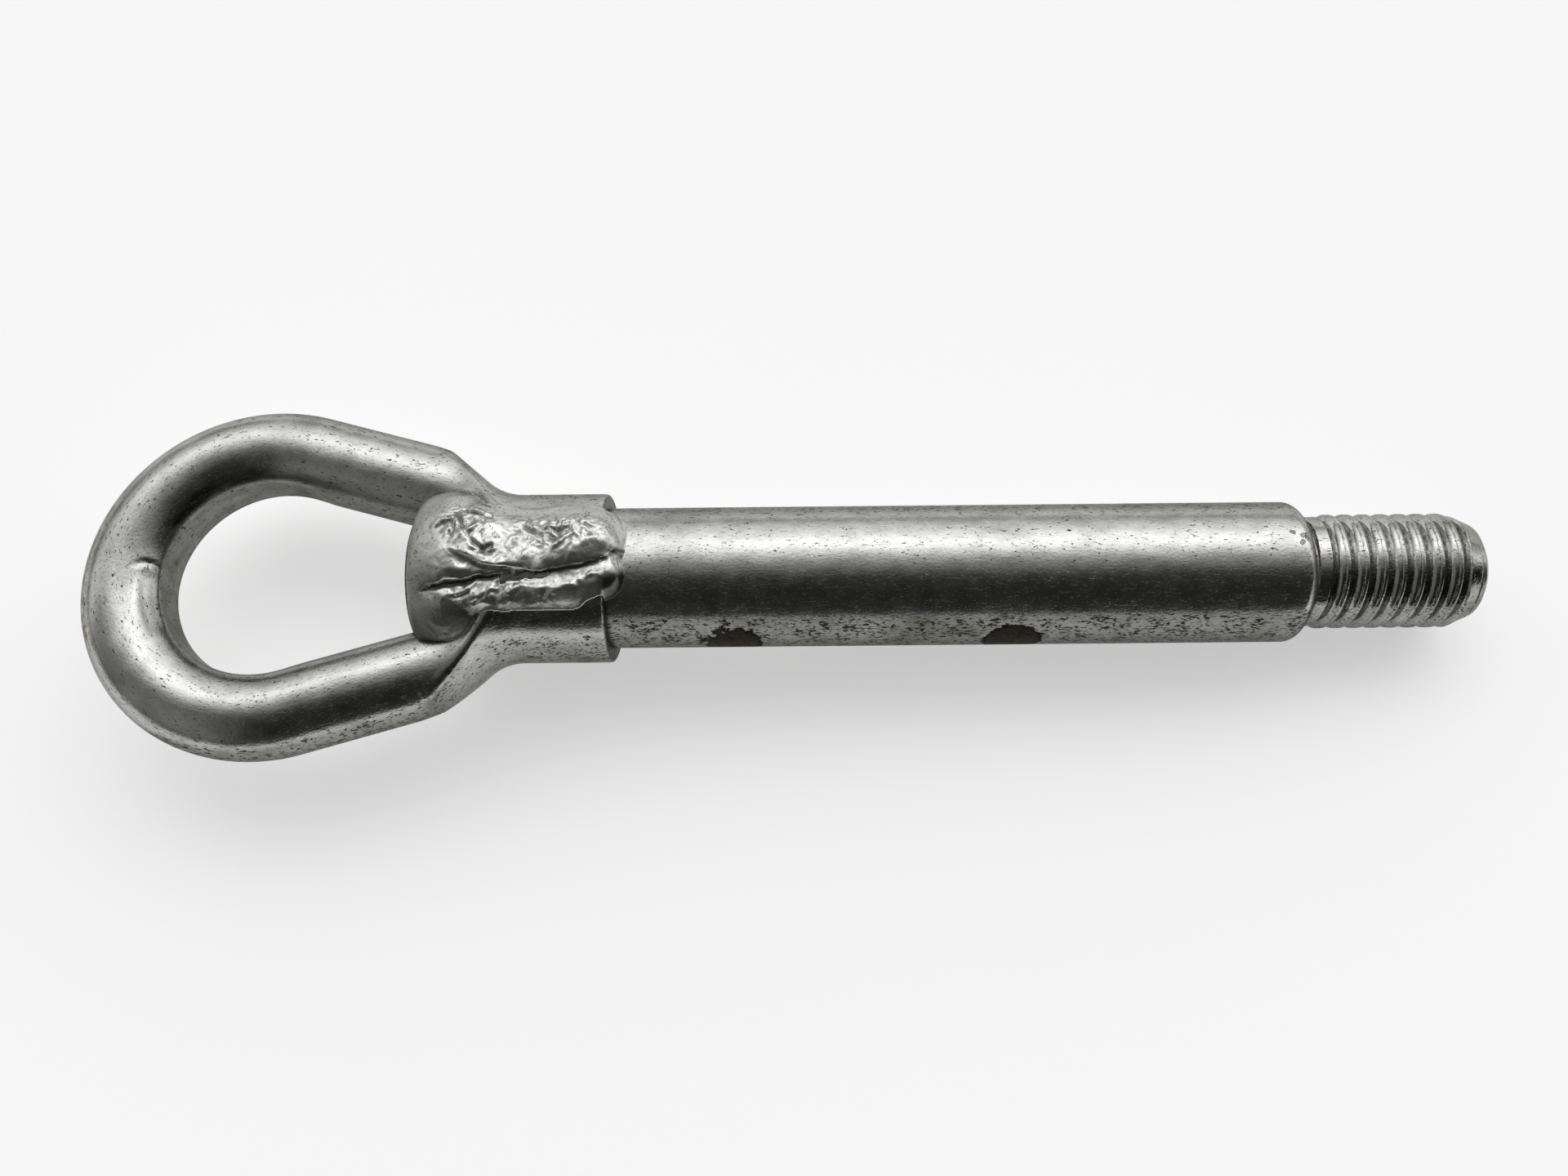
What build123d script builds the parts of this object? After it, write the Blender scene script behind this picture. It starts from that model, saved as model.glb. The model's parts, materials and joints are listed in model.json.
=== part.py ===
from build123d import *
import math
import os

os.makedirs("parts", exist_ok=True)

# Screw-in tow eye: a round shaft with a shoulder and a threaded end, a bent rod eye whose two legs
# are pressed round the shaft between dies, and weld beads that close the seams between the legs.
# Millimetres. The origin is the centre of the shoulder, +X runs out through the threaded end,
# and the eye lies flat in the XY plane.

# Shaft
shaft_d = 19.5
free_length = 94.0
gripped_length = 26.9
shoulder_round = 2.0
inner_end_round = 0.8

# Threaded end, drawn at the outside diameter of its thread
thread_d = 16.0
thread_length = 24.4
runout_d = 15.0
runout_length = 2.8
lead_d = 13.2
lead_length = 3.2
tip_d = 10.6
tip_length = 0.9

# Eye rod, with its places measured back from the outer end of the sleeve
rod_d = 12.0
bend_radius = 19.3
bend_centre_reach = 48.7
leg_meet_reach = 12.2
mandrel_bite = 0.6

# Sleeve that the dies press from the two legs
sleeve_wall = 2.0
sleeve_edge_round = 0.6
flare_reach = 15.8
flare_angle = 40.6
flare_blend = 8.0
spread_full_reach = 13.0
spread_start_reach = 22.0
spread_start_width = 9.6
seam_gap = 2.4

# Weld beads: each run is two pools with a waist between them. A run's leans are the angles of its
# inner and outer pools from the middle of the seam, in degrees
bead_height = 3.75
inner_pool_reach = 17.5
outer_pool_reach = 3.5
wide_pool_r = 8.0
middle_pool_r = 6.2
slim_pool_r = 4.5
waist_depth = 0.7
bead_runs = [
    ("weld_front_upper", 1, 18, wide_pool_r, 8, middle_pool_r),
    ("weld_front_lower", 1, -29, slim_pool_r, -23, slim_pool_r),
    ("weld_back_upper", -1, 17, middle_pool_r, 15, slim_pool_r),
    ("weld_back_lower", -1, -19, slim_pool_r, -17, slim_pool_r),
]

# Edges are picked by place, to within this much
same_place = 1e-6

# Places that follow from the sizes above
shaft_r = shaft_d / 2
thread_r = thread_d / 2
rod_r = rod_d / 2
sleeve_r = shaft_r + sleeve_wall
sleeve_x = -free_length
inner_end_x = sleeve_x - gripped_length
lead_x = thread_length - tip_length - lead_length
runout_slope = (thread_d - runout_d) / 2
bend_x = sleeve_x - bend_centre_reach
leg_meet_x = sleeve_x - leg_meet_reach
flare_x = sleeve_x - flare_reach
eye_reach = bend_radius + rod_d
bead_crown_r = shaft_r + bead_height

# Shaft: one turned profile from the inner end to the tip
with BuildPart() as shaft:
    with BuildSketch(Plane.XY):
        with BuildLine():
            Polyline(
                (inner_end_x, 0),
                (inner_end_x, shaft_r),
                (0, shaft_r),
                (0, runout_d / 2),
                (runout_length, runout_d / 2),
                (runout_length + runout_slope, thread_r),
                (lead_x, thread_r),
                (thread_length - tip_length, lead_d / 2),
                (thread_length, tip_d / 2),
                (thread_length, 0),
                close=True,
            )
        make_face()
    revolve(axis=Axis.X)
    shaft_rims = shaft.edges().filter_by(lambda edge: edge.geom_type == GeomType.CIRCLE)
    fillet(shaft_rims.sort_by(Axis.X)[0], inner_end_round)
    shoulder_rim = shaft.edges().filter_by(
        lambda edge: edge.geom_type == GeomType.CIRCLE
        and abs(edge.radius - shaft_r) < same_place
        and abs(edge.center().X) < same_place
    )
    fillet(shoulder_rim, shoulder_round)

shaft.part.label = "shaft"
export_step(shaft.part, "parts/shaft.step")

# Eye: each leg is the tangent from its meeting point on the shaft to the bend
meet_distance = math.hypot(bend_x - leg_meet_x, shaft_r)
leg_angle = math.asin(bend_radius / meet_distance) - math.atan2(shaft_r, leg_meet_x - bend_x)
tangent_x = bend_x + bend_radius * math.sin(leg_angle)
tangent_y = bend_radius * math.cos(leg_angle)

with BuildPart() as eye_loop:
    with BuildLine(Plane.XY) as rod_path:
        Line((leg_meet_x, shaft_r), (tangent_x, tangent_y))
        ThreePointArc((tangent_x, tangent_y), (bend_x - bend_radius, 0), (tangent_x, -tangent_y))
        Line((tangent_x, -tangent_y), (leg_meet_x, -shaft_r))
    with BuildSketch(Plane(origin=rod_path.line @ 0, z_dir=rod_path.line % 0)):
        Circle(rod_r)
    sweep(path=rod_path.line)

    # The pressed metal spreads from the width of the rod to the whole half round
    with BuildSketch(Plane.XZ):
        Polygon(
            (sleeve_x, sleeve_r),
            (sleeve_x - spread_full_reach, sleeve_r),
            (sleeve_x - spread_start_reach, spread_start_width / 2),
            (sleeve_x - spread_start_reach, -spread_start_width / 2),
            (sleeve_x - spread_full_reach, -sleeve_r),
            (sleeve_x, -sleeve_r),
            align=None,
        )
    extrude(amount=eye_reach, both=True)

    # Bell mouth of the dies, which trims the legs and the spread metal alike
    mouth_x = flare_x - (eye_reach - sleeve_r) / math.tan(math.radians(flare_angle))
    blend_run = flare_blend * math.tan(math.radians(flare_angle) / 2)
    blend_x = flare_x - blend_run * math.cos(math.radians(flare_angle))
    blend_y = sleeve_r + blend_run * math.sin(math.radians(flare_angle))
    far_x = bend_x - eye_reach
    with BuildSketch(Plane.XY):
        with BuildLine():
            Polyline(
                (flare_x + blend_run, sleeve_r),
                (sleeve_x, sleeve_r),
                (sleeve_x, 0),
                (far_x, 0),
                (far_x, eye_reach),
                (mouth_x, eye_reach),
                (blend_x, blend_y),
            )
            RadiusArc((blend_x, blend_y), (flare_x + blend_run, sleeve_r), -flare_blend)
        make_face()
    revolve(axis=Axis.X, mode=Mode.INTERSECT)

    # Bore for the shaft, the seams between the two legs and the flat that the bending mandrel leaves
    add(shaft.part, mode=Mode.SUBTRACT)
    with Locations((sleeve_x - spread_start_reach / 2, 0, 0)):
        Box(spread_start_reach, seam_gap, 2 * eye_reach, mode=Mode.SUBTRACT)
    with Locations((bend_x, 0, 0)):
        Cylinder(bend_radius - rod_r + mandrel_bite, 2 * rod_d, mode=Mode.SUBTRACT)
    end_rim = eye_loop.edges().filter_by(
        lambda edge: edge.geom_type == GeomType.CIRCLE
        and abs(edge.radius - sleeve_r) < same_place
        and abs(edge.center().X - sleeve_x) < same_place
    )
    fillet(end_rim, sleeve_edge_round)

eye_loop.part.label = "eye_loop"
export_step(eye_loop.part, "parts/eye_loop.step")

# Weld beads: each is turned about a line through the middles of its pools, and what it shares with
# the shaft, the eye and the beads laid before it is taken away
laid_beads = []
for bead_name, side, inner_lean, inner_r, outer_lean, outer_r in bead_runs:
    inner_tilt = math.radians(inner_lean)
    outer_tilt = math.radians(outer_lean)
    inner_depth = bead_crown_r - inner_r
    outer_depth = bead_crown_r - outer_r
    inner_middle = Vector(
        sleeve_x - inner_pool_reach,
        inner_depth * math.sin(inner_tilt),
        side * inner_depth * math.cos(inner_tilt),
    )
    outer_middle = Vector(
        sleeve_x - outer_pool_reach,
        outer_depth * math.sin(outer_tilt),
        side * outer_depth * math.cos(outer_tilt),
    )
    run = outer_middle - inner_middle
    inward = Vector(0, -inner_middle.Y, -inner_middle.Z)
    with BuildPart() as bead:
        with BuildSketch(Plane(origin=inner_middle, x_dir=run, z_dir=run.cross(inward))):
            with BuildLine():
                CenterArc((0, 0), inner_r, 180, -90)
                Polyline(
                    (0, inner_r),
                    (run.length / 2, (inner_r + outer_r) / 2 - waist_depth),
                    (run.length, outer_r),
                )
                CenterArc((run.length, 0), outer_r, 90, -90)
                Line((run.length + outer_r, 0), (-inner_r, 0))
            make_face()
        revolve(axis=Axis(inner_middle, run))
        add(shaft.part, mode=Mode.SUBTRACT)
        add(eye_loop.part, mode=Mode.SUBTRACT)
        for laid in laid_beads:
            add(laid, mode=Mode.SUBTRACT)
    bead.part.label = bead_name
    laid_beads.append(bead.part)
    export_step(bead.part, f"parts/{bead_name}.step")
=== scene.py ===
"""Screw-in tow eye: a turned shaft with a rolled thread, a bent rod eye pressed round it, and weld beads."""

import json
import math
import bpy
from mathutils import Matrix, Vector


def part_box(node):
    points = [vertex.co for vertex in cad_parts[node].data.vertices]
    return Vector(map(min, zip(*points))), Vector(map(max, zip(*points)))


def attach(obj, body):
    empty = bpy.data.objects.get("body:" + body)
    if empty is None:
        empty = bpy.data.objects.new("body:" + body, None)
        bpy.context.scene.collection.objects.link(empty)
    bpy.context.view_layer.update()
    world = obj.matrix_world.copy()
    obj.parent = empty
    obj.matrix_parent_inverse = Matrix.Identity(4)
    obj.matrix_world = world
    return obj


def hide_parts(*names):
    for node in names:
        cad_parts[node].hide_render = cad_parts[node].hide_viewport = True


bl_info = {
    "name": "Tow Eye",
    "version": (1, 0, 0),
    "blender": (4, 5, 0),
    "location": "View3D > Sidebar > Tow Eye",
    "description": "Builds a plated, welded tow eye in the frame of its solids",
    "category": "Object",
}

import bmesh
import bpy
import numpy as np
from bpy.props import FloatProperty, FloatVectorProperty, IntProperty, PointerProperty
from mathutils import Matrix, Vector, noise

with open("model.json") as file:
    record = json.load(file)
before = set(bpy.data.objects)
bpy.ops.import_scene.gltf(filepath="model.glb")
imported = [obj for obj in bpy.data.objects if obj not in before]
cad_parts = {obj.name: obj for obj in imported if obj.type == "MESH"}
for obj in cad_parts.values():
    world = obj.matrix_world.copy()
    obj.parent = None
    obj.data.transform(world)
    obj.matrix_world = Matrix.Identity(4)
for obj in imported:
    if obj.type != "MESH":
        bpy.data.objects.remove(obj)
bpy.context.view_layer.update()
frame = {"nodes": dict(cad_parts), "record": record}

MM = 0.001

shaft_low, shaft_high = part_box("shaft")
_, loop_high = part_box("eye_loop")
mounts = {mount["name"]: mount for mount in frame["record"]["mounts"]}
finishes = {finish["slot"]: finish for finish in frame["record"]["materials"]}
thread_radius = mounts["thread"]["dims"]["r_mm"]

# How far in millimetres the crests stay inside the solid's plain cylinder
CREST_INSET = 0.04


def length(name, description, default):
    """A size in millimetres, kept in metres."""
    return FloatProperty(name=name, description=description, default=default * MM, unit="LENGTH", precision=5)


def colour(name, description, default):
    return FloatVectorProperty(
        name=name, description=description, default=default, subtype="COLOR", size=3, min=0.0, max=1.0
    )


class ShaftSizes(bpy.types.PropertyGroup):
    """Sizes of the turned shaft and its rolled thread"""

    bar_radius: length("Bar radius", "Radius of the plain bar", shaft_high.y / MM)
    inner_round: length("Inner end round", "Rounding of the end inside the eye", 0.8)
    shoulder_round: length("Shoulder round", "Rounding of the shoulder", 2.0)
    neck_radius: length("Neck radius", "Radius of the neck between shoulder and thread", 7.62)
    neck_length: length("Neck length", "Length of the neck", 2.8)
    crest_radius: length("Crest radius", "Radius over the thread's crests", thread_radius - CREST_INSET)
    root_radius: length("Root radius", "Radius of the thread's roots", 6.75)
    pitch: length("Pitch", "Distance from one crest to the next", 2.5)
    crest_place: length("Crest place", "Where a crest crosses the top of the shaft", 11.69)
    lead_radius: length("Lead radius", "Radius where the lead-in ends", 6.6)
    lead_length: length("Lead length", "Length of the lead-in", 3.2)
    tip_radius: length("Tip radius", "Radius of the flat tip", 5.3)
    tip_length: length("Tip length", "Length of the chamfer at the tip", 0.9)
    segments: IntProperty(name="Segments", description="Faces round the shaft", default=144, min=24)


class LoopSizes(bpy.types.PropertyGroup):
    """Sizes of the bent rod and the sleeve pressed from its legs"""

    rod_radius: length("Rod radius", "Radius of the bent rod", 5.97)
    bend_radius: length("Bend radius", "Radius of the bend at the middle of the rod", 19.3)
    bend_x: length("Bend place", "Place of the bend's middle along the shaft", mounts["eye"]["pos_m"][0] / MM)
    meet_reach: length("Leg reach", "How far inside the sleeve's end a leg meets the shaft", 12.2)
    mandrel_bite: length("Mandrel flat", "Depth of the flat that the mandrel leaves", 0.6)
    sleeve_wall: length("Sleeve wall", "Thickness of the pressed sleeve", 2.0)
    flare_reach: length("Flare reach", "Distance of the bell mouth from the sleeve's end", 15.8)
    flare_angle: FloatProperty(
        name="Flare angle", description="Slope of the bell mouth", default=math.radians(40.6), subtype="ANGLE"
    )
    flare_blend: length("Flare blend", "Radius between sleeve and bell mouth", 8.0)
    spread_full: length("Full spread", "Reach of the full half round", 13.0)
    spread_start: length("Spread start", "Reach at which the metal starts to spread", 23.5)
    spread_width: length("Spread width", "Width of the spread metal at its start", 6.8)
    seam_gap: length("Seam gap", "Gap between the two half sleeves", 2.4)
    crease: length("Crease softness", "Softness of the edges that the dies leave", 0.9)
    end_trim: length("End trim", "How far the lower leg's end stands back", 0.4)
    upper_end_trim: length("Upper end trim", "How far the upper leg's end stands back", 0.8)
    skin: length("Skin step", "Step of the even skin", 0.42)


class WeldSizes(bpy.types.PropertyGroup):
    """Sizes of the weld beads"""

    crown_radius: length("Crown radius", "Distance of the beads' crowns from the shaft's axis", 13.5)
    waist: length("Waist", "Depth of the waist between two pools", 0.7)
    toe: length("Toe", "Softness of the line where a bead runs out", 0.4)
    collar_reach: length("Collar reach", "Distance of the collar's middle from the sleeve's end", 21.4)
    collar_half: length("Collar half width", "Half the width of the collar over the shaft's inner end", 4.9)
    collar_height: length("Collar height", "Height of the collar over the shaft", 2.6)
    collar_spread: FloatProperty(
        name="Collar spread",
        description="Angle that the collar covers on each side of the seam",
        default=math.radians(68),
        subtype="ANGLE",
    )
    skin: length("Skin step", "Step of the beads' skin", 0.16)


class FinishColours(bpy.types.PropertyGroup):
    """Colours of the metal, its dirt and its stains"""

    plating: colour("Plating", "Worn zinc plating", finishes["plated_steel"]["base_color"])
    weld: colour("Weld", "Plated weld metal", finishes["weld_metal"]["base_color"])
    stain: colour("Stain", "Olive film on the plating", (0.115, 0.117, 0.095))
    # This dark colour is also painted as shade: in the weld's hollows and under it, on end faces, inside the
    # eye, on the thread's low side, and as a dark reflection inside the bend
    fleck_and_shade: colour("Fleck", "Dark dirt in the scuffs", (0.035, 0.035, 0.03))
    rust: colour("Rust", "Brown patches where the plating is gone", (0.056, 0.043, 0.027))


class StageSizes(bpy.types.PropertyGroup):
    """Floor, light and camera"""

    floor_width: length("Floor width", "Width of the pale floor", 6000.0)
    floor: colour("Floor", "Colour of the floor", (0.75, 0.75, 0.75))
    light: FloatProperty(name="Light", description="Level of the soft overhead light", default=1.0)
    lens: FloatProperty(name="Lens", description="Focal length of the camera in millimetres", default=27.13)


class Field:
    """A value that a node gives, so that sums of such values can be written as sums."""

    def __init__(self, tree, socket):
        self.tree = tree
        self.socket = socket

    def __add__(self, other):
        return maths("ADD", self, other)

    def __sub__(self, other):
        return maths("SUBTRACT", self, other)

    def __rsub__(self, other):
        return maths("SUBTRACT", other, self)

    def __mul__(self, other):
        return maths("MULTIPLY", self, other)

    def __truediv__(self, other):
        return maths("DIVIDE", self, other)


def put(tree, kind, inputs, **settings):
    """Adds a node, sets it up, and fills or links its inputs."""
    made = tree.nodes.new(kind)
    for name, value in settings.items():
        setattr(made, name, value)
    for key, value in inputs.items():
        if isinstance(value, Field):
            tree.links.new(value.socket, made.inputs[key])
        else:
            made.inputs[key].default_value = value
    return made


def field(tree, kind, output, inputs=None, **settings):
    """One output of a new node."""
    return Field(tree, put(tree, kind, inputs or {}, **settings).outputs[output])


def maths(operation, *values):
    tree = next(value.tree for value in values if isinstance(value, Field))
    return field(tree, "ShaderNodeMath", 0, dict(enumerate(values)), operation=operation)


def greater(a, b):
    return maths("MAXIMUM", a, b)


def vectors(operation, *values):
    output = "Value" if operation in {"LENGTH", "DISTANCE", "DOT_PRODUCT"} else "Vector"
    return field(values[0].tree, "ShaderNodeVectorMath", output, dict(enumerate(values)), operation=operation)


def stretched(vector, share):
    """A vector with its first part scaled."""
    return vectors("MULTIPLY", vector, (share, 1.0, 1.0))


def scaled(tree, vector, factor):
    return field(tree, "ShaderNodeVectorMath", "Vector", {0: vector, "Scale": factor}, operation="SCALE")


def parts(vector):
    """The three parts of a vector."""
    made = put(vector.tree, "ShaderNodeSeparateXYZ", {0: vector})
    return [Field(vector.tree, socket) for socket in made.outputs]


def ramp(value, low, high, start=0.0, end=1.0):
    """A soft step from start to end as value goes from low to high."""
    inputs = {"Value": value, "From Min": low, "From Max": high, "To Min": start, "To Max": end}
    return field(value.tree, "ShaderNodeMapRange", "Result", inputs, interpolation_type="SMOOTHSTEP")


def mixed(factor, a, b):
    return field(factor.tree, "ShaderNodeMix", 2, {0: factor, 6: a, 7: b}, data_type="RGBA")


def cloud(vector, scale, detail=2.0, roughness=0.5, distortion=0.0):
    inputs = {"Vector": vector, "Scale": scale, "Detail": detail}
    inputs.update({"Roughness": roughness, "Distortion": distortion})
    return field(vector.tree, "ShaderNodeTexNoise", "Fac", inputs)


def rgba(value, share=1.0):
    return (*(share * part for part in value), 1.0)


def effect(name, values, outputs):
    """An empty shader group that takes a vector and named values, with its inputs as fields."""
    tree = bpy.data.node_groups.new(name, "ShaderNodeTree")
    tree.interface.new_socket(name="Vector", in_out="INPUT", socket_type="NodeSocketVector")
    for label, default in values.items():
        socket = tree.interface.new_socket(name=label, in_out="INPUT", socket_type="NodeSocketFloat")
        socket.default_value = default
    for label in outputs:
        tree.interface.new_socket(name=label, in_out="OUTPUT", socket_type="NodeSocketFloat")
    given = tree.nodes.new("NodeGroupInput").outputs
    return tree, [Field(tree, given[label]) for label in ("Vector", *values)]


def give(tree, *fields):
    """Ends a group with what it gives."""
    for socket, found in zip(tree.nodes.new("NodeGroupOutput").inputs, fields):
        tree.links.new(found.socket, socket)
    return tree


def fleck_effect(name):
    """Short dashes of dirt along the first axis, gathered in drifts."""
    tree, (vector, scale, cover) = effect(name, {"Scale": 1.0, "Cover": 0.5}, ["Mask"])
    dash = cloud(stretched(vector, 0.4), scale, 4.0, 0.62, 0.6)
    drift = cloud(vectors("ADD", vector, (31.7, 11.3, 5.9)), scale * 0.16, 3.0, 0.6)
    edge = 0.63 - cover * ramp(drift, 0.35, 0.65, 0.45, 1.3) * 0.1
    return give(tree, ramp(dash, edge, edge + 0.04))


def stain_effect(name):
    """A thin film that lies in soft patches."""
    values = {"Scale": 0.1, "Cover": 0.5, "Softness": 0.2}
    tree, (vector, scale, cover, softness) = effect(name, values, ["Mask"])
    bare = 1.0 - cover
    return give(tree, ramp(cloud(vector, scale, 6.0, 0.62, 0.4), bare, bare + softness))


def grain_effect(name):
    """Fine satin grain of the plating."""
    tree, (vector, scale) = effect(name, {"Scale": 3.0}, ["Height", "Tone"])
    broad = cloud(vector, scale * 0.18, 4.0, 0.6)
    return give(tree, cloud(vector, scale, 3.0, 0.6) + broad * 0.8, broad)


def scratch_effect(name):
    """Thin scratches that follow the first axis."""
    tree, (vector, scale, cover) = effect(name, {"Scale": 4.0, "Cover": 0.4}, ["Mask"])
    bare = 1.0 - cover
    return give(tree, ramp(cloud(stretched(vector, 0.03), scale, 2.0, 0.7), bare, bare + 0.08))


EFFECTS = {
    "dirt flecks": fleck_effect,
    "stain film": stain_effect,
    "plating grain": grain_effect,
    "lengthwise scratches": scratch_effect,
}


def use(tree, name, **inputs):
    """What a shared effect gives here. Its group is made when it is first asked for."""
    group = bpy.data.node_groups.get(name) or EFFECTS[name](name)
    return [Field(tree, socket) for socket in put(tree, "ShaderNodeGroup", inputs, node_tree=group).outputs]


def blank_material(name):
    made = bpy.data.materials.new(name)
    made.use_nodes = True
    return made, made.node_tree, made.node_tree.nodes["Principled BSDF"]


def in_millimetres(tree, kind, output, **settings):
    return scaled(tree, field(tree, kind, output, **settings), 1.0 / MM)


def stored(tree, name):
    """A value stored at the mesh's points."""
    return field(tree, "ShaderNodeAttribute", "Fac", attribute_name=name)


# Worn plating stays dull where it is seen edge on
GRAZING_TINT = (0.5, 0.5, 0.48, 1.0)
GRAZING_LEVEL = 0.15

# Depth of the plating's bumps in millimetres
PLATING_BUMP = 0.024
WELD_BUMP = 0.02

# Darkest and lightest tone of the plating's mottling
PLATING_TONES = (0.84, 1.12)
WELD_TONES = (0.86, 1.12)

# Direction that the low side of the object faces, towards the camera and down; it is painted darker, partly
# as real grime and partly as painted shade that dims the floor reflected there
LOW_SIDE = (0.0, -0.94, -0.34)

# Stretches along the shaft in millimetres over which the soot of the weld, the film on the collar and the
# grime and painted shade of the bar run out, and those of the rust in the corner by the shoulder
SOOT_FADE = (-114.0, -106.0)
COLLAR_FADE = (-117.5, -114.0)
BAR_FADE = (-0.5, 0.5)
SEAT_START = (-1.3, -0.3)
SEAT_END = (0.2, 0.8)

# Radii between which the dirt in the thread's roots thins out, in millimetres
ROOT_DIRT = (6.8, 7.3)

# Round brown marks on the low side of the bar: place along the bar in millimetres, angle from its top in
# degrees, radius in millimetres and how far its edge is eaten away
RUST_MARKS = [(-77.8, -86.0, 4.2, 0.9), (-39.8, -86.0, 4.2, 0.2)]

# Small dents by the shoulder: place along the bar, angle from its top and radius
PITS = [(-2.0, 12.0, 0.5), (-3.1, 14.0, 0.4), (-2.2, 6.0, 0.35), (-1.4, 9.0, 0.4)]


def plated_finish(place, along, grime, finish, flecks):
    """Worn zinc on a bar: satin grain, scratches along it, olive film and dark flecks, thickened by the given
    grime, which is partly painted shade. Gives the colour, roughness, metal and height for a piece to add its
    own marks to."""
    tree = place.tree
    grain, mottle = use(tree, "plating grain", Vector=stretched(along, 0.65), Scale=3.0)
    [scratches] = use(tree, "lengthwise scratches", Vector=along, Scale=3.2, Cover=0.36)
    [film] = use(tree, "stain film", Vector=place, Scale=0.09, Cover=0.5, Softness=0.22)
    film = film * 0.3 + grime * 0.6
    [dirt] = use(tree, "dirt flecks", Vector=along, Scale=3.5, Cover=grime * 0.9 + flecks)
    plating = scaled(tree, tuple(finish.plating), ramp(mottle, 0.25, 0.75, *PLATING_TONES))
    tinted = mixed(film, plating, rgba(finish.stain))
    marked = mixed(dirt * 0.92, tinted, rgba(finish.fleck_and_shade))
    rough = ramp(mottle, 0.2, 0.8, 0.15, 0.24) + film * 0.16 + dirt * 0.25
    return marked, rough, 1.0 - dirt * 0.75, grain - scratches * 0.2 - dirt * 0.2


def finish_shader(shader, base, rough, metal, height, depth):
    tree = base.tree
    bumps = {"Height": height, "Strength": 1.0, "Distance": depth * MM}
    bump = field(tree, "ShaderNodeBump", "Normal", bumps)
    wired = {"Base Color": base, "Roughness": rough, "Metallic": metal, "Normal": bump}
    for name, value in wired.items():
        tree.links.new(value.socket, shader.inputs[name])
    shader.inputs["Specular Tint"].default_value = GRAZING_TINT
    shader.inputs["Specular IOR Level"].default_value = GRAZING_LEVEL


def shaft_material(finish, sizes):
    made, tree, shader = blank_material("plated shaft")
    place = in_millimetres(tree, "ShaderNodeTexCoord", "Object")
    x, y, z = parts(place)
    round_it = field(tree, "ShaderNodeCombineXYZ", 0, {"Y": y, "Z": z})
    radius = vectors("LENGTH", round_it)
    low = vectors("DOT_PRODUCT", round_it, LOW_SIDE) / radius
    soot = ramp(x, *SOOT_FADE, 1.0, 0.0)
    # Grime on the low side, towards the camera, and on the far side: partly real olive film and flecks,
    # partly painted shade that dims the floor reflected there; soot by the weld is added below
    grime = greater(ramp(low, 0.44, 0.62), ramp(y / radius, 0.55, 0.8, 0.0, 0.8))
    grime = greater(grime, soot) * ramp(x, *BAR_FADE, 1.0, 0.35)
    base, rough, metal, height = plated_finish(place, place, grime, finish, 0.28)
    rough = rough + soot * 0.22
    ragged = cloud(place, 0.7, 5.0, 0.7)
    blotch = cloud(place, 1.3, 4.0, 0.7)

    def from_mark(along, angle):
        tilt = math.radians(angle)
        bar = sizes.bar_radius / MM
        return vectors("DISTANCE", place, (along, bar * math.sin(tilt), bar * math.cos(tilt)))

    for along, angle, size, eaten in RUST_MARKS:
        eaten_side = ramp(x, along - 1.0, along + 3.0, eaten, 0.15)
        away = from_mark(along, angle) + ramp(ragged, 0.3, 0.7, -1.6, 1.6) * eaten_side
        mark = ramp(away, size - 0.25, size + 0.05, 1.0, 0.0)
        rim = mark * ramp(away, size - 1.0, size - 0.3)
        brown = mixed(blotch, rgba(finish.rust, 0.35), rgba(finish.rust, 1.9))
        brown = mixed(rim, brown, rgba(finish.rust, 0.3))
        base = mixed(mark * 0.95, base, brown)
        rough = rough + mark * 0.4
        metal = metal * (1.0 - mark * 0.9)
        height = height - mark * 1.5
    for along, angle, size in PITS:
        away = from_mark(along, angle) + ramp(blotch, 0.3, 0.7, -0.25, 0.25)
        pit = ramp(away, size - 0.2, size, 1.0, 0.0)
        base = mixed(pit * 0.6, base, rgba(finish.fleck_and_shade))
        height = height - pit * 2.5
    on_thread = ramp(x, 0.0, 0.4)
    # Painted shade: the thread's low side is darkened towards the flecks' colour
    base = mixed(on_thread * ramp(low, -0.15, 0.35, 0.0, 0.3), base, rgba(finish.fleck_and_shade))
    rough = rough - on_thread * 0.16
    soil = on_thread * ramp(radius, *ROOT_DIRT, 1.0, 0.0) * ramp(ragged, 0.4, 0.7, 0.05, 0.35)
    seat = ramp(x, *SEAT_START) * ramp(x, *SEAT_END, 1.0, 0.0)
    soil = greater(soil, seat * ramp(ragged, 0.35, 0.6, 0.75, 1.0))
    base = mixed(soil, base, rgba(finish.rust))
    finish_shader(shader, base, rough + soil * 0.4, metal * (1.0 - soil * 0.8), height, PLATING_BUMP)
    return made


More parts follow.
